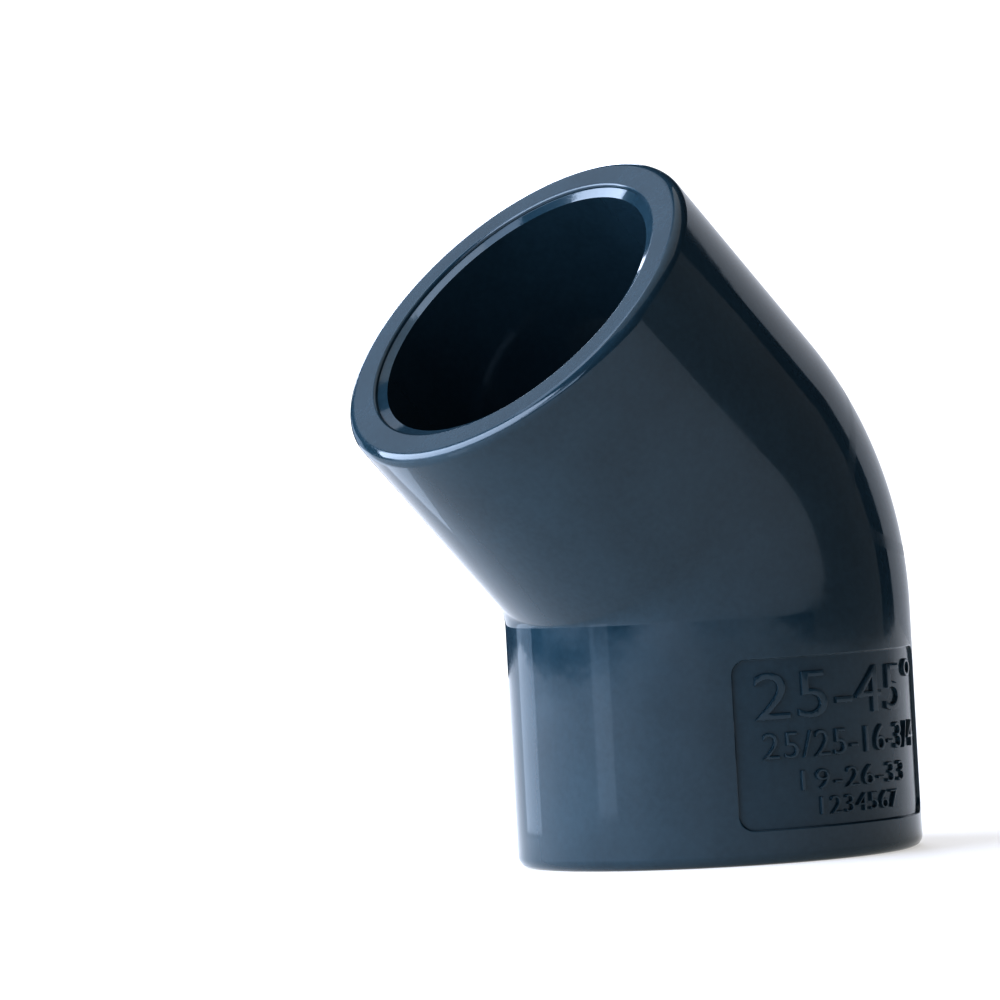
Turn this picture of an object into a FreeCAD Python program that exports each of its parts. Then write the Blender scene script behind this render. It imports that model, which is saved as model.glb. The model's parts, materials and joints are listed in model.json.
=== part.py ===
"""A 45 degree elbow for gluing 25 mm PVC-U pressure pipe, moulded in one piece.

The mouth of the lower socket stands on z = 0 with its centre at the origin, and the lower axis is +Z.
The upper socket leans towards +X. Both sockets are alike, mirrored about the plane that halves the bend.
"""

import FreeCAD, Part
import math
import os

# ---- Driving dimensions, in millimetres and degrees ----

BEND_ANGLE = 45.0          # turn between the two socket axes

PIPE_OD = 25.0             # the pipe that is glued into each socket
PIPE_WALL = 1.9            # wall of that pipe, which the pipe stop matches
SOCKET_CLEARANCE = 0.2     # socket bore over pipe, on the diameter: the gap that the cement fills
SOCKET_DEPTH = 19.0        # rim to pipe stop
STOP_LAND = 2.0            # waterway left on the inside of the bend between its corner and the pipe stop
STOP_CHAMFER = 0.4         # on the waterway edge of the pipe stop

SOCKET_WALL = 3.7          # wall round the socket bore
CREASE_RADIUS = 0.3        # radius left in the corner on the inside of the bend
RIM_ROUND = 0.7            # outer edge of the rim

LEAD_WIDTH = 0.8           # lead-in cone, across the rim
LEAD_DEPTH = 0.25          # lead-in cone, along the axis
LEAD_STEP = 0.15           # straight step between the rim face and the cone
LIP_ROUND = 0.1            # inner edge of the rim face

PANEL_CENTRE = 94.0        # angle from the lean of the upper socket to the middle of the marking panel
PANEL_WIDTH = 22.2         # measured round the socket
PANEL_RIM_GAP = 2.75       # plain wall between the rim face and the panel
PANEL_BEND_GAP = 3.2       # plain wall between the panel and the start of the bend
PANEL_DEPTH = 0.25         # how far the panel is sunk in the wall
PANEL_CORNER = 1.2         # corner radius of the panel

MARK_HEIGHT = 0.22         # characters above the floor of the panel
MARK_SIDE_MARGIN = 1.4     # panel floor left and right of the widest line
MARK_END_MARGIN = 0.9      # panel floor above the first line and below the last
MARK_ROOT = 0.3            # how deep the characters run on into the wall, so that they are one with it

# Each line: its text, its height and the gap below it, both in shares of the block, and its share of the width.
MARK_LINES = [
    ("25-45*", 3.9, 0.9, 1.0),
    ("25/25-16-3/4", 2.2, 0.9, 0.94),
    ("19-26-33", 1.7, 0.5, 0.7),
    ("1234567", 1.5, 0.0, 0.48),
]
MARK_STROKE = 0.16         # width of a stroke, as a share of the character's height
MARK_FILL = 0.74           # share of a character's pitch that the character fills

# Characters as pen strokes on a grid 4 wide and 6 high. A star stands for the degree ring.
PEN_STROKES = {
    "0": [[(0, 1), (0, 5), (1, 6), (3, 6), (4, 5), (4, 1), (3, 0), (1, 0), (0, 1)]],
    "1": [[(1, 5), (2, 6), (2, 0)]],
    "2": [[(0, 5), (1, 6), (3, 6), (4, 5), (4, 4), (0, 0), (4, 0)]],
    "3": [[(0, 5), (1, 6), (3, 6), (4, 5), (4, 4), (3, 3), (4, 2), (4, 1), (3, 0), (1, 0), (0, 1)]],
    "4": [[(3, 0), (3, 6), (0, 2), (4, 2)]],
    "5": [[(4, 6), (0, 6), (0, 3.5), (3, 3.5), (4, 2.5), (4, 1), (3, 0), (1, 0), (0, 1)]],
    "6": [[(4, 5), (3, 6), (1, 6), (0, 5), (0, 1), (1, 0), (3, 0), (4, 1), (4, 2.5), (3, 3.5), (0, 3.5)]],
    "7": [[(0, 6), (4, 6), (1.5, 0)]],
    "8": [[(3, 3), (1, 3), (0, 4), (0, 5), (1, 6), (3, 6), (4, 5), (4, 4), (3, 3)],
          [(3, 3), (4, 2), (4, 1), (3, 0), (1, 0), (0, 1), (0, 2), (1, 3)]],
    "9": [[(0, 1), (1, 0), (3, 0), (4, 1), (4, 5), (3, 6), (1, 6), (0, 5), (0, 3.5), (1, 2.5), (4, 2.5)]],
    "-": [[(0.7, 3), (3.3, 3)]],
    "/": [[(0.5, 0), (3.5, 6)]],
    "*": [[(0.5, 4.8), (0.5, 5.2), (1.3, 6), (1.7, 6), (2.5, 5.2), (2.5, 4.8), (1.7, 4), (1.3, 4), (0.5, 4.8)]],
}
GRID_WIDTH = 4.0
GRID_HEIGHT = 6.0

# ---- Sizes that follow ----

half_turn = math.radians(BEND_ANGLE) / 2
socket_r = (PIPE_OD + SOCKET_CLEARANCE) / 2
waterway_r = PIPE_OD / 2 - PIPE_WALL
outer_r = socket_r + SOCKET_WALL
lead_r = socket_r + LEAD_WIDTH
laying_length = socket_r * math.tan(half_turn) + STOP_LAND    # crossing of the axes to the pipe stop
centre_to_face = laying_length + SOCKET_DEPTH
bend_radius = outer_r + CREASE_RADIUS
straight_length = centre_to_face - bend_radius * math.tan(half_turn)
panel_height = straight_length - PANEL_RIM_GAP - PANEL_BEND_GAP

UP = FreeCAD.Vector(0, 0, 1)
CROSSING = FreeCAD.Vector(0, 0, centre_to_face)
BEND_AXIS = FreeCAD.Vector(0, 1, 0)


def at_upper_socket(shape):
    """The same shape on the upper socket: mirrored about the plane that halves the bend."""
    normal = FreeCAD.Vector(math.sin(half_turn), 0, math.cos(half_turn))
    return shape.mirror(CROSSING, normal)


def revolve_profile(edges):
    """A closed outline in the x-z plane, turned round the lower axis."""
    face = Part.Face(Part.Wire(edges))
    return face.revolve(FreeCAD.Vector(0, 0, 0), UP, 360)


def corner_arc(centre_x, centre_z, radius, start_degrees, end_degrees):
    """An arc in the x-z plane. Angles run from +X towards +Z."""
    def point(degrees):
        angle = math.radians(degrees)
        return FreeCAD.Vector(centre_x + radius * math.cos(angle), 0, centre_z + radius * math.sin(angle))
    middle = (start_degrees + end_degrees) / 2
    return Part.Arc(point(start_degrees), point(middle), point(end_degrees)).toShape()


def lines_through(points):
    """Straight edges through (x, z) points."""
    corners = [FreeCAD.Vector(x, 0, z) for x, z in points]
    return [Part.LineSegment(a, b).toShape() for a, b in zip(corners, corners[1:])]


def socket_outside():
    """The lower socket with nothing cut out of it, its rim edge rounded."""
    edges = lines_through([(outer_r, RIM_ROUND), (outer_r, straight_length), (0, straight_length), (0, 0),
                           (outer_r - RIM_ROUND, 0)])
    edges.append(corner_arc(outer_r - RIM_ROUND, RIM_ROUND, RIM_ROUND, -90, 0))
    return revolve_profile(edges)


def bend_outside():
    """The turn between the sockets, swung round an axis just clear of the inside corner."""
    section = Part.Face(Part.Wire(Part.makeCircle(outer_r, FreeCAD.Vector(0, 0, straight_length), UP)))
    return section.revolve(FreeCAD.Vector(bend_radius, 0, straight_length), BEND_AXIS, BEND_ANGLE)


def core_pin():
    """What the lower core leaves open: lead-in, socket, pipe stop and waterway, up to the half plane."""
    overlap = 1.0
    lip_r = lead_r + LIP_ROUND
    step_z = LIP_ROUND + LEAD_STEP
    beyond = centre_to_face + waterway_r * math.tan(half_turn) + overlap
    edges = [corner_arc(lip_r, LIP_ROUND, LIP_ROUND, 270, 180)]
    edges += lines_through([
        (lead_r, LIP_ROUND),
        (lead_r, step_z),
        (socket_r, step_z + LEAD_DEPTH),
        (socket_r, SOCKET_DEPTH),
        (waterway_r + STOP_CHAMFER, SOCKET_DEPTH),
        (waterway_r, SOCKET_DEPTH + STOP_CHAMFER),
        (waterway_r, beyond),
        (0, beyond),
        (0, -overlap),
        (lip_r, -overlap),
        (lip_r, 0),
    ])
    pin = revolve_profile(edges)
    size = 4 * centre_to_face
    far_side = Part.makeBox(size, size, size, FreeCAD.Vector(-size / 2, -size / 2, 0))
    far_side.rotate(FreeCAD.Vector(0, 0, 0), BEND_AXIS, BEND_ANGLE / 2)
    far_side.translate(CROSSING)
    return pin.cut(far_side)


def panel_recess():
    """The shallow sunk panel on the side of the lower socket, walls along the mould's opening direction."""
    half_chord = outer_r * math.sin(PANEL_WIDTH / 2 / outer_r)
    block = Part.makeBox(outer_r, 2 * half_chord, panel_height,
                         FreeCAD.Vector(outer_r / 2, -half_chord, PANEL_RIM_GAP))
    along_x = [edge for edge in block.Edges if abs(edge.tangentAt(edge.FirstParameter).x) > 0.9]
    block = block.makeFillet(PANEL_CORNER, along_x)
    floor = Part.makeCylinder(outer_r - PANEL_DEPTH, centre_to_face)
    recess = block.cut(floor)
    recess.rotate(FreeCAD.Vector(0, 0, 0), UP, PANEL_CENTRE)
    return recess


def stroke_bar(start, end, width):
    """One pen stroke from start to end in the y-z plane, as a bar that sticks out along +X."""
    run = math.hypot(end[0] - start[0], end[1] - start[1])
    bar = Part.makeBox(outer_r, run + width, width, FreeCAD.Vector(outer_r / 2, -width / 2, -width / 2))
    slope = math.degrees(math.atan2(end[1] - start[1], end[0] - start[0]))
    bar.rotate(FreeCAD.Vector(0, 0, 0), FreeCAD.Vector(1, 0, 0), slope)
    bar.translate(FreeCAD.Vector(0, start[0], start[1]))
    return bar


def character(name, width, height):
    """The bars of one character, centred on y = 0 with its foot on z = 0."""
    bars = []
    for pen_line in PEN_STROKES[name]:
        points = [((x / GRID_WIDTH - 0.5) * width, z / GRID_HEIGHT * height) for x, z in pen_line]
        bars += [stroke_bar(a, b, MARK_STROKE * height) for a, b in zip(points, points[1:])]
    return bars


def marking():
    """All the raised characters, wrapped round the socket one by one and topped at one radius."""
    block_height = panel_height - 2 * MARK_END_MARGIN
    block_width = PANEL_WIDTH - 2 * MARK_SIDE_MARGIN
    scale = block_height / sum(height + gap for _, height, gap, _ in MARK_LINES)
    top = PANEL_RIM_GAP + panel_height - MARK_END_MARGIN
    bars = []
    for text, height, gap, width_share in MARK_LINES:
        pitch = block_width * width_share / len(text)
        foot = top - height * scale
        stroke = MARK_STROKE * height * scale
        for place, name in enumerate(text):
            along = (place - (len(text) - 1) / 2) * pitch
            turn = PANEL_CENTRE + math.degrees(along / outer_r)
            for bar in character(name, pitch * MARK_FILL - stroke, height * scale - stroke):
                bar.translate(FreeCAD.Vector(0, 0, foot + stroke / 2))
                bar.rotate(FreeCAD.Vector(0, 0, 0), UP, turn)
                bars.append(bar)
        top = foot - gap * scale
    floor_r = outer_r - PANEL_DEPTH
    ring = Part.makeCylinder(floor_r + MARK_HEIGHT, straight_length)
    ring = ring.cut(Part.makeCylinder(floor_r - MARK_ROOT, straight_length))
    return bars[0].multiFuse(bars[1:]).common(ring)


def elbow_body():
    """The whole moulding."""
    lower = socket_outside()
    solid = lower.multiFuse([bend_outside(), at_upper_socket(lower)])
    pin = core_pin()
    solid = solid.cut(pin).cut(at_upper_socket(pin)).removeSplitter()
    solid = solid.cut(panel_recess())
    return solid.fuse(marking())


def one_solid(shape):
    """The single solid inside a compound, so that the file holds a plain solid."""
    assert len(shape.Solids) == 1
    return shape.Solids[0]


os.makedirs("parts", exist_ok=True)
body = one_solid(elbow_body())
body.exportStep("parts/elbow_body.step")
print("elbow_body: volume %.1f mm3, valid %s, %d faces" % (body.Volume, body.isValid(), len(body.Faces)))
print("outside diameter %.2f, centre to face %.3f, straight %.2f, panel height %.2f"
      % (2 * outer_r, centre_to_face, straight_length, panel_height))
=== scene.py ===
# %% [markdown]
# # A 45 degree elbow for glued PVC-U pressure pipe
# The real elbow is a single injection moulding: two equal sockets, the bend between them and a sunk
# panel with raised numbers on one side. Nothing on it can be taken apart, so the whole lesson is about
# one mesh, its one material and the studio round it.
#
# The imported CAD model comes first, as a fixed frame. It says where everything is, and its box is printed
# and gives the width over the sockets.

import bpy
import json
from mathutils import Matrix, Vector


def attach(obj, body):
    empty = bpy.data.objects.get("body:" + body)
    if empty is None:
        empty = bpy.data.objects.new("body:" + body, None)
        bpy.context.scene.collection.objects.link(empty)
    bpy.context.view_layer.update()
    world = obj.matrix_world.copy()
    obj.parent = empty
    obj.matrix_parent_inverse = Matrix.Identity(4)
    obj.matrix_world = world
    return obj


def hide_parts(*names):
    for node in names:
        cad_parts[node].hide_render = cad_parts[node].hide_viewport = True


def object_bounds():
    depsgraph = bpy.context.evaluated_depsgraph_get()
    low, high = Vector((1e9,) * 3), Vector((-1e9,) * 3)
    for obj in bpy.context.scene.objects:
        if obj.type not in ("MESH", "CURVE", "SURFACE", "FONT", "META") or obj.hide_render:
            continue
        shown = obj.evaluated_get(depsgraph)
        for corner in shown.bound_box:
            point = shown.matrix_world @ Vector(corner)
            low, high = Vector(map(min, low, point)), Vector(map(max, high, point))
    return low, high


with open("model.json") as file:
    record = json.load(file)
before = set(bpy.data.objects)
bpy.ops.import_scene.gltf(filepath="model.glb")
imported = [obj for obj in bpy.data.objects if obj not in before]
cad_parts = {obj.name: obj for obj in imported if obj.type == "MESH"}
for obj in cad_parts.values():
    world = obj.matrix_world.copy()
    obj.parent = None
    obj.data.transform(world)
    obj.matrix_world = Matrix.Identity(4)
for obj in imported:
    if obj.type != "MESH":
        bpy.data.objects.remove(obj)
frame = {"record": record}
cad_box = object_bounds()
print("CAD box in mm:", [[round(1000 * value, 2) for value in corner] for corner in cad_box])

# %% [markdown]
# ## Sizes
# The frame gives the sizes that matter to a pipe fitter: the socket bore, both axes and the width over
# the sockets. The two axes cross at one point, and everything on the upper socket is the lower socket
# mirrored about the plane that halves the bend there.
#
# The elbow is small. Blender's mesh tools have limits that suit things as large as a chair, so the mesh
# is worked in millimetres, one unit to a millimetre, and brought to metres at the end.

# %% Read the sizes from the frame
import json
import math

import bmesh
import bpy
from mathutils import Matrix, Vector

MM = 0.001

mounts = {mount["name"]: mount for mount in frame["record"]["mounts"]}
upper_mouth = Vector(mounts["upper_socket"]["pos_m"]) / MM
upper_axis = Vector(mounts["upper_socket"]["axis"])
socket_radius = mounts["lower_socket"]["dims"]["r_mm"]
outer_radius = (cad_box[1].y - cad_box[0].y) / 2 / MM
half_turn = Vector((0, 0, 1)).angle(upper_axis) / 2
crossing = Vector((0, 0, upper_mouth.z - upper_mouth.x * upper_axis.z / upper_axis.x))
print(f"axes cross {crossing.z:.3f} mm up, bend {math.degrees(2 * half_turn):.1f} degrees,"
      f" bore {2 * socket_radius:.1f} mm, outside {2 * outer_radius:.2f} mm")

# %% Sizes of the moulding, in millimetres
SOCKET_DEPTH = 19.0       # rim to pipe stop
WATERWAY_RADIUS = 10.6    # the same as inside the pipe
STOP_CHAMFER = 0.4
CREASE_RADIUS = 0.3       # left in the corner on the inside of the bend
RIM_ROUND = 0.9           # outer edge of the rim, 0.7 in the CAD model, so that its highlight shows
LIP_ROUND = 0.28          # inner edge of the rim face, 0.1 in the CAD model, for the same reason
LEAD_WIDTH = 0.8          # lead-in cone, across the rim
LEAD_DEPTH = 0.25         # lead-in cone, along the axis
LEAD_STEP = 0.02          # straight step between the round and the cone, what the lip round leaves

lead_radius = socket_radius + LEAD_WIDTH
bend_radius = outer_radius + CREASE_RADIUS
straight_top = crossing.z - bend_radius * math.tan(half_turn)
print(f"straight wall up to {straight_top:.2f} mm")

# %% [markdown]
# ## Two helpers
# A mesh operator acts on whatever is selected. By hand one clicks. A script names what it wants by its
# place instead, so one helper selects by a test, and another makes an object the only selected one.

# %% Helpers for selecting
CLOSE = 0.01          # mm, near enough to count as the same place
CUT_MERGE = 0.0001    # mm, a cut this near to a vertex goes through it


def only(obj):
    """Make this the one selected and active object."""
    bpy.ops.object.select_all(action="DESELECT")
    obj.select_set(True)
    bpy.context.view_layer.objects.active = obj


def middle_of(item):
    """The middle of an edge or a face."""
    return sum((vert.co for vert in item.verts), Vector()) / len(item.verts)


def pick(kind, wanted):
    """In edit mode, select the edges or faces whose middle passes the test, and say how many."""
    bpy.ops.mesh.select_mode(type=kind)
    bpy.ops.mesh.select_all(action="DESELECT")
    mesh = bmesh.from_edit_mesh(bpy.context.object.data)
    chosen = [item for item in (mesh.edges if kind == "EDGE" else mesh.faces) if wanted(middle_of(item))]
    for item in chosen:
        item.select_set(True)
    mesh.select_flush_mode()
    bmesh.update_edit_mesh(bpy.context.object.data)
    return len(chosen)


def on_ring(radius, z):
    """A test for edges that lie on a ring round the lower axis."""
    return lambda point: abs(math.hypot(point.x, point.y) - radius) < CLOSE and abs(point.z - z) < CLOSE


# %% [markdown]
# ## Half of the elbow
# In the mould, two straight cores leave the sockets and the waterway, and the outside is a round wall.
# A lathe-like way suits that: start from one ring at the top of the straight wall and extrude it along
# the profile, down the outside, across the rim, in over the lead-in and up the bore to the pipe stop.
# Then the same top ring is spun about an axis just clear of the inside corner, which leaves the tight
# crease there that fades out towards the sides.
#
# A cylinder with a boolean for every step would give the same shape, but with ragged faces at the
# bend. One column of faces for each degree keeps the outline round in a close view.

# %% Draw the lower socket, ring by ring
COLUMNS = 360
BEND_STEPS = 24

bpy.ops.object.select_all(action="DESELECT")
bpy.ops.mesh.primitive_circle_add(vertices=COLUMNS, radius=outer_radius, location=(0, 0, straight_top))
elbow = bpy.context.object
elbow.name = "elbow"
bpy.ops.object.transform_apply(location=True, rotation=True, scale=True)
bpy.ops.object.mode_set(mode="EDIT")
bpy.ops.mesh.select_all(action="SELECT")
ring = {"radius": outer_radius, "z": straight_top}


def draw_ring(radius, z):
    """Extrude the selected ring to a new radius and height."""
    bpy.ops.mesh.extrude_region_move(TRANSFORM_OT_translate={"value": (0, 0, z - ring["z"])})
    growth = radius / ring["radius"]
    bpy.ops.transform.resize(value=(growth, growth, 1), center_override=(0, 0, z))
    ring.update(radius=radius, z=z)


draw_ring(outer_radius, 0)
draw_ring(lead_radius, 0)
draw_ring(lead_radius, LIP_ROUND + LEAD_STEP)
draw_ring(socket_radius, LIP_ROUND + LEAD_STEP + LEAD_DEPTH)
draw_ring(socket_radius, SOCKET_DEPTH)
draw_ring(WATERWAY_RADIUS + STOP_CHAMFER, SOCKET_DEPTH)
draw_ring(WATERWAY_RADIUS, SOCKET_DEPTH + STOP_CHAMFER)
draw_ring(WATERWAY_RADIUS, crossing.z + outer_radius)

# %% Cut the waterway off at the plane that halves the bend
half_plane = Vector((math.sin(half_turn), 0, math.cos(half_turn)))
bpy.ops.mesh.select_all(action="SELECT")
bpy.ops.mesh.bisect(plane_co=crossing, plane_no=half_plane, clear_outer=True, threshold=CUT_MERGE)

# %% Round the rim edges
RIM_SEGMENTS = 8
LIP_SEGMENTS = 4

print("rim edges:", pick("EDGE", on_ring(outer_radius, 0)))
bpy.ops.mesh.bevel(offset=RIM_ROUND, segments=RIM_SEGMENTS, affect="EDGES")
print("lip edges:", pick("EDGE", on_ring(lead_radius, 0)))
bpy.ops.mesh.bevel(offset=LIP_ROUND, segments=LIP_SEGMENTS, affect="EDGES")

# %% Spin the bend up to the half plane
print("top edges:", pick("EDGE", on_ring(outer_radius, straight_top)))
bpy.ops.mesh.spin(steps=BEND_STEPS, angle=half_turn, center=(bend_radius, 0, straight_top), axis=(0, -1, 0))
bpy.ops.object.mode_set(mode="OBJECT")
print("highest point:", round(max(vert.co.z for vert in elbow.data.vertices), 3))

# %% [markdown]
# ## The other half
# The upper half of the elbow is the lower half in a mirror. An empty at the crossing of the axes, tilted
# by half the bend, serves as that mirror, so nothing is drawn twice and the two rings that meet on the
# half plane fit exactly.

# %% Mirror it about the plane that halves the bend
WELD = 0.001    # mm, vertices closer than this are the same

bpy.ops.object.select_all(action="DESELECT")
bpy.ops.object.empty_add(location=crossing, rotation=(0, half_turn, 0))
mirror_plane = bpy.context.object
only(elbow)
mirror = elbow.modifiers.new("other_half", "MIRROR")
mirror.mirror_object = mirror_plane
mirror.use_axis = (False, False, True)
mirror.merge_threshold = WELD
bpy.ops.object.modifier_apply(modifier=mirror.name)
bpy.data.objects.remove(mirror_plane)

bpy.ops.object.mode_set(mode="EDIT")
bpy.ops.mesh.select_all(action="SELECT")
bpy.ops.mesh.remove_doubles(threshold=WELD)
bpy.ops.mesh.normals_make_consistent(inside=False)
bpy.ops.object.mode_set(mode="OBJECT")


def open_edges(obj):
    """How many edges of the mesh don't join exactly two faces. A closed skin has none."""
    mesh = bmesh.new()
    mesh.from_mesh(obj.data)
    count = sum(not edge.is_manifold for edge in mesh.edges)
    mesh.free()
    return count


print("faces:", len(elbow.data.polygons), " open edges:", open_edges(elbow))

# %% [markdown]
# ## The marking panel, made flat
# On the side of the lower socket the mould has a shallow panel, 0.25 mm deep, with the size marks raised
# in it. Cutting into a round wall leaves ragged, badly lit faces. It is easier to unroll a part of the
# wall, 90 degrees of it, into a flat plate, do all the fine work there with straight cuts, and bend the
# plate round at the end. Its columns are as wide as the socket's columns, so the edges meet.
#
# The panel itself is a boolean: a block with rounded corners taken out of the plate. Both of its edges
# then get a small bevel, because no moulded edge is sharp, and that bevel is what catches a thin line
# of light.

# %% Sizes of the marking panel, in millimetres
PANEL_CENTRE = 94     # degrees from the lean of the upper socket
PLATE_COLUMNS = 90    # columns of the wall that the plate takes the place of
PLATE_THICKNESS = 1.0
PANEL_WIDTH = 22.2
PANEL_RIM_GAP = 2.75
PANEL_BEND_GAP = 3.2
PANEL_DEPTH = 0.25
PANEL_CORNER = 1.2
CORNER_SEGMENTS = 8
LIP_BEVEL = 0.1       # where the wall turns down into the panel
ROOT_BEVEL = 0.08     # where the panel's side meets its floor
BEVEL_SEGMENTS = 3

column_width = outer_radius * math.radians(360 / COLUMNS)
plate_width = PLATE_COLUMNS * column_width
plate_height = straight_top - RIM_ROUND
panel_height = straight_top - PANEL_RIM_GAP - PANEL_BEND_GAP
panel_middle = PANEL_RIM_GAP + panel_height / 2
print(f"plate {plate_width:.2f} x {plate_height:.2f} mm, panel {PANEL_WIDTH} x {panel_height:.2f} mm")

# %% Block out the plate and sink the panel
def block(name, middle, size):
    """A box of this size, with its place in its mesh."""
    bpy.ops.object.select_all(action="DESELECT")
    bpy.ops.mesh.primitive_cube_add(size=1, location=middle, scale=size)
    made = bpy.context.object
    made.name = name
    bpy.ops.object.transform_apply(location=True, rotation=True, scale=True)
    return made


def cut_or_join(obj, other, operation):
    """Apply a boolean to obj with the other object, which is used up."""
    only(obj)
    boolean = obj.modifiers.new(operation.lower(), "BOOLEAN")
    boolean.operation = operation
    boolean.object = other
    boolean.solver = "EXACT"
    bpy.ops.object.modifier_apply(modifier=boolean.name)
    bpy.data.objects.remove(other)


plate = block("plate", (0, PLATE_THICKNESS / 2, RIM_ROUND + plate_height / 2),
              (plate_width, PLATE_THICKNESS, plate_height))
sinker = block("sinker", (0, 0, panel_middle), (PANEL_WIDTH, 2 * PANEL_DEPTH, panel_height))
bpy.ops.object.mode_set(mode="EDIT")
pick("EDGE", lambda point: abs(point.x) > PANEL_WIDTH / 2 - CLOSE
     and abs(point.z - panel_middle) > panel_height / 2 - CLOSE)
bpy.ops.mesh.bevel(offset=PANEL_CORNER, segments=CORNER_SEGMENTS, affect="EDGES")
bpy.ops.object.mode_set(mode="OBJECT")
cut_or_join(plate, sinker, "DIFFERENCE")

# %% Round the panel's edges
only(plate)
bpy.ops.object.mode_set(mode="EDIT")
print("root edges:", pick("EDGE", lambda point: abs(point.y - PANEL_DEPTH) < CLOSE))
bpy.ops.mesh.bevel(offset=ROOT_BEVEL, segments=BEVEL_SEGMENTS, affect="EDGES")
print("lip edges:", pick("EDGE", lambda point: abs(point.y) < CLOSE
                         and abs(point.x) < PANEL_WIDTH / 2 + CLOSE
                         and abs(point.z - panel_middle) < panel_height / 2 + CLOSE))
bpy.ops.mesh.bevel(offset=LIP_BEVEL, segments=BEVEL_SEGMENTS, affect="EDGES")
bpy.ops.object.mode_set(mode="OBJECT")
print("plate faces:", len(plate.data.polygons), " open edges:", open_edges(plate))

# %% [markdown]
# ## Raised numbers
# The real fitting carries its size, pressure class and batch marks. Only plain numbers are used here:
# pipe size and angle, sizes by inch and pressure, socket depths, and a running number.
#
# Drawing each figure by hand would take long and look uneven, and Blender's text object gives well-drawn
# figures. The flat text is stood up and turned into a mesh, extruded out of the panel floor, and its top
# is drawn in twice with a little height, which rounds the edge as the cutter leaves it in a mould. Each
# line is then joined to the plate. The figures are stretched sideways, as wide moulded figures are.

# %% Make the lines of numbers
MARK_HEIGHT = 0.24       # above the panel floor, 0.22 in the CAD model
MARK_ROOT = 0.2          # how far they run on into the wall
MARK_ROUND = 0.06
MARK_WELD = 0.015        # points of an outline closer than this are one
MARK_FLAT = 1.0          # degrees, faces that meet flatter than this become one
CURVE_STEPS = 5          # points on each curve of a figure's outline
CAP_HEIGHT = 0.73        # height of a figure as a share of the text size
TIGHT = 1.0              # letter spacing, as the font has it
LOOSE = 1.5
MARK_END_MARGIN = 0.9
MARK_BLOCK_WIDTH = 19.4

# Each line: its text, its height, the gap below it, its share of the width and how far it is stretched.
MARK_LINES = [
    ("25-45°", 3.9, 0.9, 0.96, 1.28),
    ("25/25-16-3/4", 2.2, 0.9, 0.92, 1.05),
    ("19-26-33", 1.7, 0.5, 0.62, 1.3),
    ("1234567", 1.5, 0.0, 0.46, 1.2),
]


def text_width(text, spacing):
    """How wide the text is with this spacing."""
    text.data.space_character = spacing
    bpy.context.view_layer.update()
    return text.dimensions.x


def raised_line(words, height, width, stretch, foot):
    """One line of figures, standing in the panel, as a closed mesh."""
    bpy.ops.object.select_all(action="DESELECT")
    bpy.ops.object.text_add(location=(0, PANEL_DEPTH + MARK_ROOT, foot), rotation=(math.radians(90), 0, 0))
    text = bpy.context.object
    text.data.body = words
    text.data.align_x = "CENTER"
    text.data.size = height / CAP_HEIGHT
    text.data.resolution_u = CURVE_STEPS
    narrowest = text_width(text, TIGHT)
    widest = text_width(text, LOOSE)
    text_width(text, TIGHT + (LOOSE - TIGHT) * (width / stretch - narrowest) / (widest - narrowest))
    text.scale.x = stretch
    bpy.ops.object.convert(target="MESH")
    bpy.ops.object.transform_apply(location=True, rotation=True, scale=True)
    line = bpy.context.object
    bpy.ops.object.mode_set(mode="EDIT")
    bpy.ops.mesh.select_all(action="SELECT")
    bpy.ops.mesh.remove_doubles(threshold=MARK_WELD)
    bpy.ops.mesh.beautify_fill()
    bpy.ops.mesh.dissolve_limited(angle_limit=math.radians(MARK_FLAT))
    top = MARK_ROOT + MARK_HEIGHT - MARK_ROUND
    bpy.ops.mesh.extrude_region_move(TRANSFORM_OT_translate={"value": (0, -top, 0)})
    # Two steps of 45 degrees round the top edge.
    for start, end in ((0, 45), (45, 90)):
        inward = MARK_ROUND * (math.cos(math.radians(start)) - math.cos(math.radians(end)))
        outward = MARK_ROUND * (math.sin(math.radians(end)) - math.sin(math.radians(start)))
        bpy.ops.mesh.inset(thickness=inward)
        bpy.ops.transform.translate(value=(0, -outward, 0))
    bpy.ops.mesh.select_all(action="SELECT")
    bpy.ops.mesh.normals_make_consistent(inside=False)
    bpy.ops.object.mode_set(mode="OBJECT")
    return line


top = PANEL_RIM_GAP + panel_height - MARK_END_MARGIN
share = (panel_height - 2 * MARK_END_MARGIN) / sum(height + gap for _, height, gap, *_ in MARK_LINES)
for words, height, gap, width_share, stretch in MARK_LINES:
    foot = top - height * share
    line = raised_line(words, height * share, MARK_BLOCK_WIDTH * width_share, stretch, foot)
    print(words, "wide:", round(line.dimensions.x, 2), "high:", round(line.dimensions.z, 2),
          "open edges:", open_edges(line))
    cut_or_join(plate, line, "UNION")
    top = foot - gap * share
print("plate faces:", len(plate.data.polygons), " open edges:", open_edges(plate))

# %% [markdown]
# ## The panel goes into the wall
# A flat face can't bend, so the plate is cut into columns as wide as the socket's own. Its back and sides
# have done their work for the booleans and are taken off. The Bend deform then rolls the front into a
# quarter of the socket, the faces of the wall under it are deleted, and the two meshes are welded along
# the shared columns. The print lines show that no edge is left open.

# %% Cut the plate into columns
bpy.ops.object.mode_set(mode="EDIT")
for column in range(1, PLATE_COLUMNS):
    bpy.ops.mesh.select_all(action="SELECT")
    bpy.ops.mesh.bisect(plane_co=(column * column_width - plate_width / 2, 0, 0), plane_no=(1, 0, 0),
                        threshold=CUT_MERGE)
bpy.ops.object.mode_set(mode="OBJECT")
print("plate faces:", len(plate.data.polygons), " open edges:", open_edges(plate))

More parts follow.
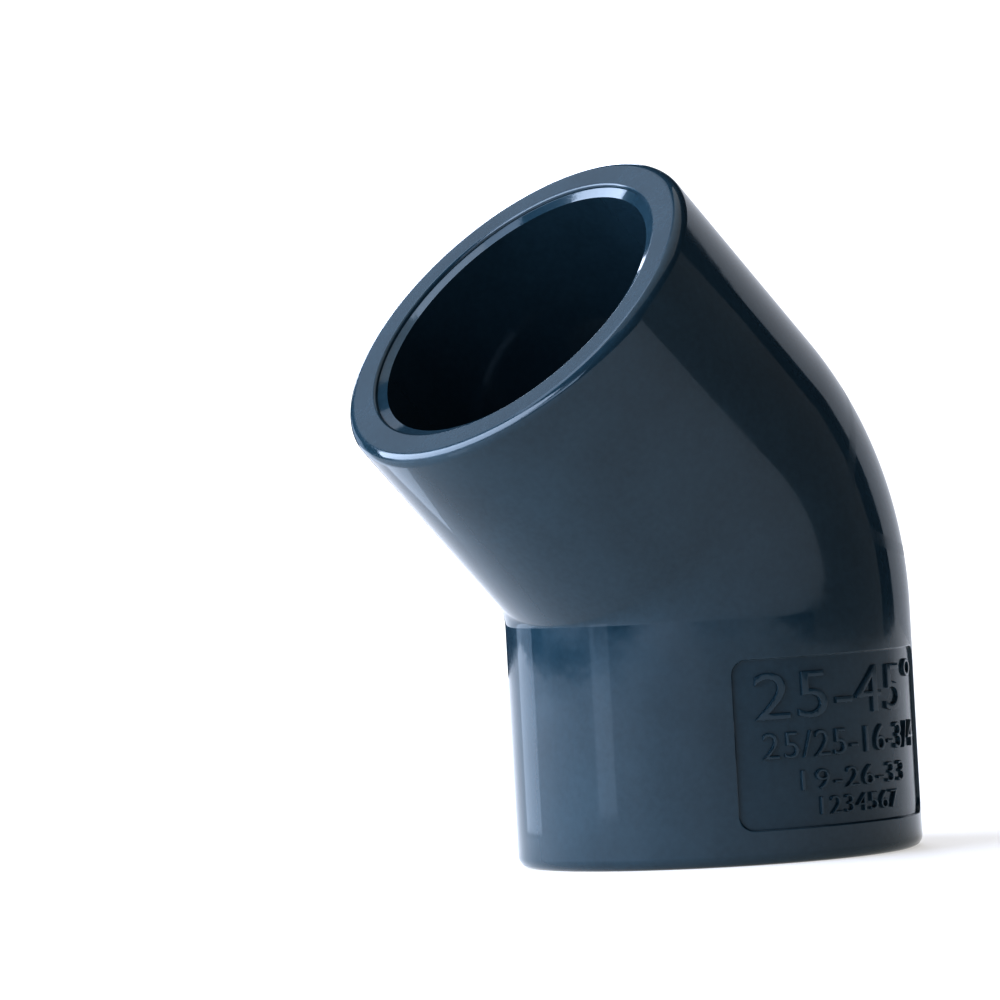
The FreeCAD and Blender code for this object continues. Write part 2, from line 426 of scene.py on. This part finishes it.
# %% Leave only the front of the plate
only(plate)
bpy.ops.object.mode_set(mode="EDIT")
plate_centre = RIM_ROUND + plate_height / 2
print("back and side faces:", pick("FACE", lambda point: point.y > PANEL_DEPTH + CLOSE
                                   or abs(point.x) > plate_width / 2 - CLOSE / 10
                                   or abs(point.z - plate_centre) > plate_height / 2 - CLOSE / 10))
bpy.ops.mesh.delete(type="FACE")
bpy.ops.object.mode_set(mode="OBJECT")

# %% Bend the plate to the socket and turn it to its place
bend = plate.modifiers.new("bend", "SIMPLE_DEFORM")
bend.deform_method = "BEND"
bend.deform_axis = "Z"
bend.angle = math.radians(PLATE_COLUMNS * 360 / COLUMNS)
bpy.ops.object.modifier_apply(modifier=bend.name)
plate.location = (0, -outer_radius, 0)
bpy.ops.object.transform_apply(location=True)
plate.rotation_euler = (0, 0, math.radians(PANEL_CENTRE + 90))
bpy.ops.object.transform_apply(rotation=True)
reach = [math.hypot(vert.co.x, vert.co.y) for vert in plate.data.vertices]
print(f"radii of the plate: {min(reach):.3f} to {max(reach):.3f} mm")

# %% Put the plate in the socket's wall
half_plate = PLATE_COLUMNS * 180 / COLUMNS


def under_plate(point):
    """Whether a face of the straight wall lies where the plate goes."""
    off_centre = math.degrees(math.atan2(point.y, point.x)) - PANEL_CENTRE
    off_centre = (off_centre + 180) % 360 - 180
    on_wall = math.hypot(point.x, point.y) > outer_radius - CLOSE and RIM_ROUND < point.z < straight_top
    return on_wall and abs(off_centre) < half_plate


only(elbow)
bpy.ops.object.mode_set(mode="EDIT")
print("wall faces taken out:", pick("FACE", under_plate))
bpy.ops.mesh.delete(type="ONLY_FACE")
bpy.ops.object.mode_set(mode="OBJECT")
plate.select_set(True)
bpy.ops.object.join()
bpy.ops.object.mode_set(mode="EDIT")
bpy.ops.mesh.select_all(action="SELECT")
bpy.ops.mesh.remove_doubles(threshold=WELD)
bpy.ops.mesh.delete_loose()
bpy.ops.mesh.select_all(action="SELECT")
bpy.ops.mesh.normals_make_consistent(inside=False)
bpy.ops.object.mode_set(mode="OBJECT")
print("elbow faces:", len(elbow.data.polygons), " open edges:", open_edges(elbow))

# %% [markdown]
# ## Smooth where it is round, sharp where it has an edge
# Faces that meet at less than 30 degrees are shaded as one surface. The flat rim faces are much larger
# than the narrow faces of the rounds beside them, and weighted normals let the large faces decide, so
# that the flat stays flat right up to the round.

# %% Finish the mesh and bring it to metres
SMOOTH_BELOW = math.radians(30)

only(elbow)
bpy.ops.object.shade_smooth_by_angle(angle=SMOOTH_BELOW)
weighted = elbow.modifiers.new("weighted_normals", "WEIGHTED_NORMAL")
weighted.keep_sharp = True
bpy.ops.object.modifier_apply(modifier=weighted.name)
elbow.scale = (MM, MM, MM)
bpy.ops.object.transform_apply(scale=True)

measured = bmesh.new()
measured.from_mesh(elbow.data)
print(f"volume {measured.calc_volume() / MM ** 3:.1f} mm3,"
      f" {len(measured.calc_loop_triangles())} triangles")
measured.free()

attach(elbow, "root")
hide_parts("elbow_body")

# %% [markdown]
# ## A grain that follows both sockets
# The fine marks of moulding run along each socket, and the two sockets point different ways. So every
# vertex gets its place as if the elbow were folded shut about the plane that halves the bend: the upper
# socket lies on the lower one, its rim at height 0 and its axis upright. A pattern that reads this place
# runs along both sockets and has no step at the bend.

# %% Store the folded place on every vertex
folded = elbow.data.attributes.new("folded_place", "FLOAT_VECTOR", "POINT")
fold_point = crossing * MM
upper_count = 0
for vert in elbow.data.vertices:
    place = vert.co.copy()
    beyond = (place - fold_point).dot(half_plane)
    if beyond > 0:
        place -= 2 * beyond * half_plane
        upper_count += 1
    folded.data[vert.index].vector = place
print("vertices folded down from the upper socket:", upper_count)

# %% [markdown]
# ## Helpers for colours and nodes
# Colours are written as they look on a screen, as sRGB hex, and one function turns them to the linear
# numbers that a shader takes. A second function adds a node with its settings and links, and a third
# turns the real size of a pattern into the scale of a noise, because Object coordinates are in metres.

# %% Helpers for colours and nodes
def linear(hex_colour):
    """An sRGB hex colour as the linear colour that a shader takes."""
    parts = [int(hex_colour[place:place + 2], 16) / 255 for place in (1, 3, 5)]
    return [part / 12.92 if part <= 0.04045 else ((part + 0.055) / 1.055) ** 2.4 for part in parts] + [1]


def add_node(tree, kind, settings=(), **inputs):
    """Add a node with its settings. An input is a value, or the output of another node to link."""
    node = tree.nodes.new(kind)
    for name, value in dict(settings).items():
        setattr(node, name, value)
    for name, value in inputs.items():
        socket = node.inputs[int(name[1:])] if name[1:].isdigit() else node.inputs[name.replace("_", " ")]
        if isinstance(value, bpy.types.NodeSocket):
            tree.links.new(value, socket)
        else:
            socket.default_value = value
    return node


def size_mm(size):
    """The noise scale that gives features of this size in millimetres."""
    return 1 / (size * MM)


# %% [markdown]
# ## Injection-moulded PVC-U
# Pressure fittings are moulded in unplasticised PVC, coloured dark slate grey right through. PVC has an
# IOR of about 1.53, and 1.47 gives the reflections on this skin their strength. The cores and the outer
# cavity are polished steel, so the skin is glossy, with three things that keep it from looking like
# glass: the pigment is not mixed to one even tone, the skin has a slight orange peel where the melt froze
# on the steel, and faint drag lines run along each socket where the part slid out of the mould. The rim
# faces are formed by the ejector sleeve and the panel floor by spark erosion, and both are satin rather
# than glossy.
#
# All of it could be painted into an image, but then it would be tied to one size. Noise textures make it
# from sizes in millimetres instead. Real specks of pigment and real drag lines are a few hundredths of a
# millimetre wide. Here both are drawn about ten times wider, so that they show at all.

# %% The PVC-U
SLATE_DEEP = "#22343c"
SLATE_PALE = "#293d46"
PVC_IOR = 1.47
CLOUD_SIZE = 7.0          # mm, uneven pigment
PIGMENT_SIZE = 0.5        # mm, specks of pigment, drawn coarse
PIGMENT_SHARE = 0.5       # how much the specks count beside the clouds
TONES = (0.5, 1.0)        # sums of clouds and specks that give the deep and the pale slate
PEEL_SIZE = 1.6           # mm, orange peel
PEEL_HEIGHT = 0.003       # mm
DRAG_SIZE = 0.5           # mm, drag lines across the socket, drawn coarse
DRAG_STRETCH = 0.03       # how much slower they change along the socket
DRAG_HEIGHT = 0.0025      # mm
GRAIN_SIZE = 0.16         # mm, spark-eroded and ejector-formed faces
GRAIN_HEIGHT = 0.0012     # mm
POLISH_SIZE = 4.0         # mm, patches of better and worse polish
POLISH_SPAN = (0.35, 0.65)    # the noise values that are stretched to the whole span of gloss
GLOSS = (0.045, 0.085)    # least and most roughness of the polished skin
SATIN = 0.14              # roughness added on rim faces and panel floor
RIM_FADE = (0.06, 0.01)   # mm from the rim face: satin starts, satin is full
FLOOR_NEAR = 0.05         # mm, this near to the panel floor counts as on it


def moulded_pvc_u():
    """Slate PVC-U: glossy and faintly uneven outside, satin on the rim faces and the panel floor."""
    material = bpy.data.materials.new("moulded_pvc_u")
    material.use_nodes = True
    tree = material.node_tree
    shader = tree.nodes["Principled BSDF"]
    shader.inputs["IOR"].default_value = PVC_IOR
    point = add_node(tree, "ShaderNodeTexCoord").outputs["Object"]
    folded_point = add_node(tree, "ShaderNodeAttribute", {"attribute_name": "folded_place"}).outputs["Vector"]

    # Colour: slow clouds of pigment, and specks over them.
    cloud = add_node(tree, "ShaderNodeTexNoise", Vector=point, Scale=size_mm(CLOUD_SIZE), Detail=3.0)
    specks = add_node(tree, "ShaderNodeTexNoise", Vector=point, Scale=size_mm(PIGMENT_SIZE), Detail=2.0)
    tone = add_node(tree, "ShaderNodeMath", {"operation": "MULTIPLY_ADD"},
                    _0=specks.outputs["Fac"], _1=PIGMENT_SHARE, _2=cloud.outputs["Fac"])
    spread = add_node(tree, "ShaderNodeMapRange", Value=tone.outputs[0], From_Min=TONES[0], From_Max=TONES[1])
    colour = add_node(tree, "ShaderNodeValToRGB", Fac=spread.outputs["Result"])
    colour.color_ramp.elements[0].color = linear(SLATE_DEEP)
    colour.color_ramp.elements[1].color = linear(SLATE_PALE)
    tree.links.new(colour.outputs["Color"], shader.inputs["Base Color"])

    # Where the skin is satin: at height 0 on the folded elbow, and one panel depth under the outer wall.
    parts = add_node(tree, "ShaderNodeSeparateXYZ", Vector=folded_point).outputs
    on_rim = add_node(tree, "ShaderNodeMapRange", Value=parts["Z"],
                      From_Min=RIM_FADE[0] * MM, From_Max=RIM_FADE[1] * MM)
    flat_point = add_node(tree, "ShaderNodeCombineXYZ", X=parts["X"], Y=parts["Y"]).outputs["Vector"]
    reach = add_node(tree, "ShaderNodeVectorMath", {"operation": "LENGTH"}, _0=flat_point).outputs["Value"]
    on_floor = add_node(tree, "ShaderNodeMath", {"operation": "COMPARE"},
                        _0=reach, _1=(outer_radius - PANEL_DEPTH) * MM, _2=FLOOR_NEAR * MM)
    satin = add_node(tree, "ShaderNodeMath", {"operation": "MAXIMUM"},
                     _0=on_rim.outputs["Result"], _1=on_floor.outputs[0]).outputs[0]

    # Roughness: the polish varies slowly, and satin faces are rougher.
    patches = add_node(tree, "ShaderNodeTexNoise", Vector=point, Scale=size_mm(POLISH_SIZE), Detail=4.0)
    polish = add_node(tree, "ShaderNodeMapRange", Value=patches.outputs["Fac"],
                      From_Min=POLISH_SPAN[0], From_Max=POLISH_SPAN[1], To_Min=GLOSS[0], To_Max=GLOSS[1])
    rough = add_node(tree, "ShaderNodeMath", {"operation": "MULTIPLY_ADD"},
                     _0=satin, _1=SATIN, _2=polish.outputs["Result"])
    tree.links.new(rough.outputs[0], shader.inputs["Roughness"])

    # Relief: orange peel, drag lines along the sockets, and grain on the satin faces.
    peel = add_node(tree, "ShaderNodeTexNoise", Vector=point, Scale=size_mm(PEEL_SIZE), Detail=1.0)
    bump = add_node(tree, "ShaderNodeBump", Height=peel.outputs["Fac"], Distance=PEEL_HEIGHT * MM)
    stretched = add_node(tree, "ShaderNodeMapping", Vector=folded_point, Scale=(1, 1, DRAG_STRETCH))
    drag = add_node(tree, "ShaderNodeTexNoise", Vector=stretched.outputs["Vector"],
                    Scale=size_mm(DRAG_SIZE), Detail=2.0)
    bump = add_node(tree, "ShaderNodeBump", Height=drag.outputs["Fac"], Distance=DRAG_HEIGHT * MM,
                    Normal=bump.outputs["Normal"])
    grain = add_node(tree, "ShaderNodeTexNoise", Vector=point, Scale=size_mm(GRAIN_SIZE), Detail=2.0)
    grain_here = add_node(tree, "ShaderNodeMath", {"operation": "MULTIPLY"},
                          _0=grain.outputs["Fac"], _1=satin)
    bump = add_node(tree, "ShaderNodeBump", Height=grain_here.outputs[0], Distance=GRAIN_HEIGHT * MM,
                    Normal=bump.outputs["Normal"])
    tree.links.new(bump.outputs["Normal"], shader.inputs["Normal"])
    return material


elbow.data.materials.clear()
elbow.data.materials.append(moulded_pvc_u())
print("finish:", elbow.data.materials[0].name)

# %% [markdown]
# ## Where the view comes from
# The table, the lights and the camera are all placed by the direction of the view, so it is written down
# once. An azimuth is measured from +X towards +Y, and an elevation upwards from the table.

# %% Set the view
VIEW_AZIMUTH = 49.2       # degrees
VIEW_ELEVATION = 0.83     # degrees
VIEW_DISTANCE = 0.5666    # m, from the crossing of the axes


def direction(azimuth, elevation):
    """The unit vector towards an azimuth and an elevation, both in degrees."""
    a = math.radians(azimuth)
    e = math.radians(elevation)
    return Vector((math.cos(e) * math.cos(a), math.cos(e) * math.sin(a), math.sin(e)))


print("the view comes from", [round(part, 3) for part in direction(VIEW_AZIMUTH, VIEW_ELEVATION)])

# %% [markdown]
# ## The table
# The elbow stands on opal acrylic, the milky sheet of a light table, lit evenly from below. A sheet of
# paper would show a grey shadow at the foot of the elbow. The glow keeps that shadow soft and pale, and
# the glossy underside of the upper socket mirrors it as a lighter field with a soft edge on the bend.
# The sheet reaches further to the front than to the back, because the front is what is mirrored.

# %% Lay the table
TABLE_FRONT = 0.90        # m, towards the camera
TABLE_BACK = 0.45
TABLE_SIDE = 0.45
ACRYLIC = "#c0c1c4"
ACRYLIC_ROUGHNESS = 0.6
ACRYLIC_SPECULAR = 0.2    # a satin sheet, so less than the usual 0.5
GLOW = "#fffcf8"
GLOW_STRENGTH = 0.4


def opal_acrylic():
    """Opal acrylic sheet, evenly lit from below."""
    material = bpy.data.materials.new("opal_acrylic_sheet")
    material.use_nodes = True
    shader = material.node_tree.nodes["Principled BSDF"]
    shader.inputs["Base Color"].default_value = linear(ACRYLIC)
    shader.inputs["Roughness"].default_value = ACRYLIC_ROUGHNESS
    shader.inputs["Specular IOR Level"].default_value = ACRYLIC_SPECULAR
    shader.inputs["Emission Color"].default_value = linear(GLOW)
    shader.inputs["Emission Strength"].default_value = GLOW_STRENGTH
    return material


bpy.ops.object.select_all(action="DESELECT")
bpy.ops.mesh.primitive_plane_add(size=1, location=(0, 0, 0))
floor = bpy.context.object
floor.name = "table"
floor.scale = (TABLE_FRONT + TABLE_BACK, 2 * TABLE_SIDE, 1)
bpy.ops.object.transform_apply(scale=True)
floor.location = ((TABLE_FRONT - TABLE_BACK) / 2, 0, 0)
bpy.ops.object.transform_apply(location=True)
floor.rotation_euler = (0, 0, math.radians(VIEW_AZIMUTH))
bpy.ops.object.transform_apply(rotation=True)
floor.data.materials.append(opal_acrylic())
print("table in metres:", [round(side, 2) for side in floor.dimensions])

# %% [markdown]
# ## The lights
# A dark glossy surface shows what stands round it far more than it shows the light that falls on it. So
# the lights are laid out by what each part of the elbow mirrors. A spotlight or a sun would leave small
# hard glints on the rounds. Every light here is a softbox: a glowing rectangle that faces the elbow.
#
# The window, with its sill and its head, is the large cool light at the left, and most of the light that
# falls on the elbow comes from it. The front window draws the line along the near edge of the rim. The
# lights behind reach only the edges that are seen at a glancing angle, the lead-in cone and the outline
# on the right, and the wall at the right is so dim that this side of the bend stays dark. Two small
# cards stand close to the lower socket. Each is mirrored as one of the two upright bands on it.

# %% Put up the softboxes
# Each: its name, azimuth from the view and elevation in degrees, distance in m, width and height in m,
# how bright its face looks, and its colour.
SOFTBOXES = [
    ("window", -80, 24, 1.2, 1.9, 0.72, 8.0, "#d8e6fe"),
    ("window_sill", -88, 3, 1.2, 0.9, 0.2, 2.0, "#d8e6fe"),
    ("window_head", -102, 53, 1.2, 0.7, 0.36, 2.5, "#d8e6fe"),
    ("front_window", -22, 12, 1.2, 0.8, 0.26, 4.2, "#d2e4fe"),
    ("window_left", -142, 42, 1.2, 0.5, 0.4, 0.75, "#eef2ff"),
    ("overhead", 0, 90, 1.0, 1.2, 1.2, 0.7, "#fff8f0"),
    ("behind_left", -166, 19, 1.2, 0.5, 0.3, 5.0, "#e4ecff"),
    ("backdrop", 157, 4, 1.5, 1.4, 0.9, 0.6, "#f4f7ff"),
    ("right_wall", 90, 5, 1.5, 1.6, 0.8, 0.18, "#fff4ea"),
    ("left_band", -115, -4, 0.055, 0.018, 0.044, 0.9, "#d4e4fc"),
    ("front_strip", -58, -11, 0.075, 0.014, 0.022, 0.7, "#d4e4fc"),
]

for name, azimuth, elevation, distance, width, height, brightness, hex_colour in SOFTBOXES:
    bpy.ops.object.light_add(type="AREA")
    light = bpy.context.object
    light.name = name
    toward = direction(VIEW_AZIMUTH + azimuth, elevation)
    light.location = crossing * MM + toward * distance
    light.rotation_euler = toward.to_track_quat("Z", "Y").to_euler()
    light.data.shape = "RECTANGLE"
    light.data.size = width
    light.data.size_y = height
    light.data.energy = brightness * math.pi * width * height
    light.data.color = linear(hex_colour)[:3]
    light.visible_camera = False
    print(f"{name}: {light.data.energy:.4f} W")

# %% [markdown]
# ## The room
# Past the softboxes the room is a dim blue-grey, which keeps the darkest parts from going black. To the
# camera alone it shows as plain white, so that the table runs into a white backdrop without a horizon.

# %% Set the room
ROOM = "#8093b0"
ROOM_STRENGTH = 0.15
BACKDROP = "#ffffff"

world = bpy.data.worlds.new("studio")
bpy.context.scene.world = world
world.use_nodes = True
tree = world.node_tree
background = tree.nodes["Background"]
background.inputs["Color"].default_value = linear(ROOM)
background.inputs["Strength"].default_value = ROOM_STRENGTH
white = add_node(tree, "ShaderNodeBackground", Color=linear(BACKDROP), Strength=1.0)
path = add_node(tree, "ShaderNodeLightPath")
mix = add_node(tree, "ShaderNodeMixShader", _0=path.outputs["Is Camera Ray"], _1=background.outputs[0],
               _2=white.outputs[0])
tree.links.new(mix.outputs[0], tree.nodes["World Output"].inputs["Surface"])
print("world:", world.name)

# %% [markdown]
# ## The camera
# A long lens from more than half a metre away keeps the sides of the small sockets nearly parallel, where
# a short lens close by would splay them. The camera stands barely above the table, turned a little about
# its own axis and aimed to the left of the elbow, so that the elbow sits right of the middle. The view's
# high contrast lets the white go fully white and keeps the slate deep.

# %% Set the camera
LENS = 253.2              # mm
SENSOR_WIDTH = 36         # mm
CAMERA_ROLL = -3.2        # degrees
AIM_LEFT = 1.65           # degrees
AIM_UP = 0.25             # degrees
CLIP = (0.01, 10)         # m

bpy.ops.object.camera_add()
camera = bpy.context.object
camera.name = "camera"
toward = direction(VIEW_AZIMUTH, VIEW_ELEVATION)
look = toward.to_track_quat("Z", "Y").to_matrix()
for degrees, axis in ((CAMERA_ROLL, "Z"), (AIM_LEFT, "Y"), (AIM_UP, "X")):
    look = look @ Matrix.Rotation(math.radians(degrees), 3, axis)
camera.location = crossing * MM + toward * VIEW_DISTANCE
camera.rotation_euler = look.to_euler()
camera.data.lens = LENS
camera.data.sensor_width = SENSOR_WIDTH
camera.data.clip_start = CLIP[0]
camera.data.clip_end = CLIP[1]
bpy.context.scene.camera = camera
bpy.context.scene.view_settings.view_transform = "Standard"
bpy.context.scene.view_settings.look = "High Contrast"
print("camera at", [round(part, 3) for part in camera.location])
